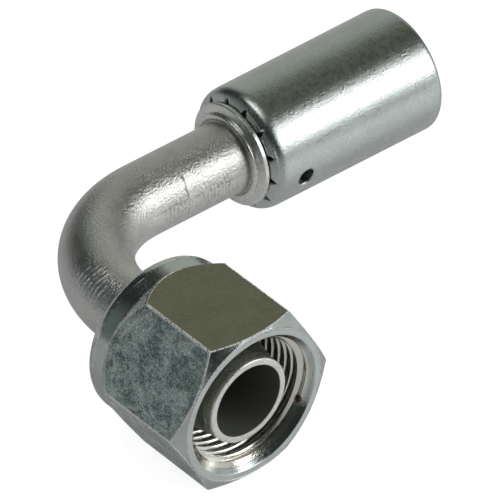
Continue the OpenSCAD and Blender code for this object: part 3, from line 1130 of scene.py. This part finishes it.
def ferrule_zinc():
    """Satin zinc plate with a fine sandy grain, faint draw lines along it and soft stains."""
    material, shader, place = metal("ferrule_zinc", (0.575, 0.625, 0.605), 0.27)
    grain = noise(place, 0.38 * mm, detail=4, stretch=(1.6, 1, 1))
    cloud = spread(noise(place, 6 * mm, detail=4), 0.3, 0.7)
    colour = tinted(cloud, (0.55, 0.595, 0.575), (0.61, 0.66, 0.64))
    feed(shader, {
        "Base Color": tinted(spread(grain, 0.3, 0.6, 0.25, 0), colour, (0.40, 0.43, 0.42)),
        "Roughness": spread(noise(place, 1.5 * mm), 0.3, 0.7, 0.25, 0.31),
    })
    raised(shader, grain, 0.055 * mm)
    draw_lines = noise(place, 0.35 * mm, detail=3, stretch=(12, 1, 1))
    raised(shader, draw_lines, 0.016 * mm)
    return material


shell = shell_body()
mark(shell, "tab", False)
rib_outline = [
    (ribs_start - rib_h, rib_root_r, 0.02 * mm),
    (ribs_start - rib_h, ferrule_bore_r, 0.02 * mm),
    (ribs_start, ferrule_bore_r - rib_h, 0.12 * mm),
    (ribs_start + rib_h, ferrule_bore_r, 0.02 * mm),
    (ribs_start + rib_h, rib_root_r, 0.02 * mm),
]
rib = turned("rib", rib_outline, on_hose_axis)
mark(rib, "rib", True)
crimp_ferrule = joined("ferrule_shell", shell, tab_sector(), rib)
satin = ferrule_zinc()
tabs = {"Part": "tab", "Count": tab_count, "Turn": sector}
ribs = {"Part": "rib", "Count": rib_count, "Step": rib_pitch}
for repeated in (tabs, ribs):
    add_tree(crimp_ferrule, repeat, {**repeated, "Axis": hose_axis, "Material": satin})
settle(crimp_ferrule)
stand_bar(crimp_ferrule)
fit(crimp_ferrule, "hose_end", "crimp_ferrule")


# ---- Floor and light -------------------------------------
# A round sheet of pale card lies under the nut's lowest flat, with one big soft box to the front
# right in a dim room with pale walls and a lit ceiling panel. The card shows white behind the part.

floor_r = 300 * mm
floor_z = nut_low.z
floor_middle = Vector((40 * mm, 40 * mm, floor_z))
floor_corners = 96
lit_middle = Vector((35 * mm, 35 * mm, 0))


def rays(tree):
    """Masks of the rays that the camera sends, and of those that metal mirrors or glass lets by."""
    path = node(tree, "ShaderNodeLightPath").outputs
    return path["Is Camera Ray"], maths("MAXIMUM", path["Is Glossy Ray"], path["Is Transmission Ray"])


def lifted(surface, straight, mirrored):
    """Add white to a surface, by one amount seen straight and another in metal or glass."""
    seen, bounced = rays(surface.id_data)
    amount = maths("MULTIPLY_ADD", bounced, mirrored, times(seen, straight))
    glow = node(surface.id_data, "ShaderNodeEmission", {"Color": (1, 1, 1, 1), "Strength": amount})
    return node(surface.id_data, "ShaderNodeAddShader", {0: surface, 1: glow.outputs[0]}).outputs[0]


def pale_card():
    """Glossy white card that stays white behind the object but keeps its shadow in the metal."""
    material = bpy.data.materials.new("pale_card")
    material.use_nodes = True
    shader = material.node_tree.nodes["Principled BSDF"]
    shader.inputs["Base Color"].default_value = (0.85, 0.85, 0.85, 1)
    shader.inputs["Roughness"].default_value = 0.25
    shader.inputs["Specular IOR Level"].default_value = 1
    output = material.node_tree.nodes["Material Output"]
    feed(output, {"Surface": lifted(shader.outputs[0], 0.82, 0.09)})
    return material


rim = [
    Vector((math.cos(angle), math.sin(angle), 0)) * floor_r + floor_middle
    for angle in (math.tau * step / floor_corners for step in range(floor_corners))
]
floor = new_piece("floor", rim, [range(floor_corners)])
floor.data.materials.append(pale_card())


def soft_box(name, towards, distance, width, height, radiance):
    """Area lamp that faces the middle of the object from a direction."""
    lamp = bpy.data.lights.new(name, "AREA")
    lamp.shape = "RECTANGLE"
    lamp.size = width
    lamp.size_y = height
    lamp.energy = radiance * math.pi * width * height
    lamp_object = new_object(name, lamp)
    lamp_object.location = lit_middle + towards * distance
    lamp_object.rotation_mode = "QUATERNION"
    lamp_object.rotation_quaternion = towards.to_track_quat("Z", "Y")


soft_box("key", direction(143, 26.8), 0.9, 0.62, 0.57, 2.5)


def patch(below, where, centre, inner, outer, colour):
    """Add a soft round patch of light to the room, full inside one angle and gone at another."""
    near = vectors("DOT_PRODUCT", where, direction(*centre))
    amount = spread(near, math.cos(math.radians(outer)), math.cos(math.radians(inner)))
    scaled = {0: colour, "Scale": amount}
    light = node(where.id_data, "ShaderNodeVectorMath", scaled, operation="SCALE").outputs[0]
    return vectors("ADD", below, light)


def dim_room():
    """White for the camera and even for the card; for the metal a dark room with pale walls."""
    world = bpy.data.worlds.new("room")
    world.use_nodes = True
    tree = world.node_tree
    where = node(tree, "ShaderNodeTexCoord").outputs["Generated"]
    room = (0.026, 0.030, 0.027)
    for centre, inner, outer, colour in (
        ((50, 16), 20, 34, (0.41, 0.43, 0.40)),
        ((75, 50), 10, 40, (0.036, 0.032, 0.010)),
        ((-58, 8), 20, 42, (0.10, 0.125, 0.12)),
        ((0, 90), 5, 16, (1.9, 1.92, 1.9)),
        ((3, 74), 5, 13, (1.9, 1.92, 1.9)),
        ((115, 4), 12, 30, (0.6, 0.62, 0.6)),
    ):
        room = patch(room, where, centre, inner, outer, colour)
    above = spread(separated(where)["Z"], -0.02, 0.02)
    room = tinted(above, (0.5, 0.5, 0.5), room)
    seen, mirrored = rays(tree)
    shown = tinted(mirrored, (0.34, 0.34, 0.34), room)
    feed(tree.nodes["Background"], {"Color": tinted(seen, shown, (1, 1, 1))})
    return world


bpy.context.scene.world = dim_room()
bpy.context.scene.view_settings.view_transform = "Standard"
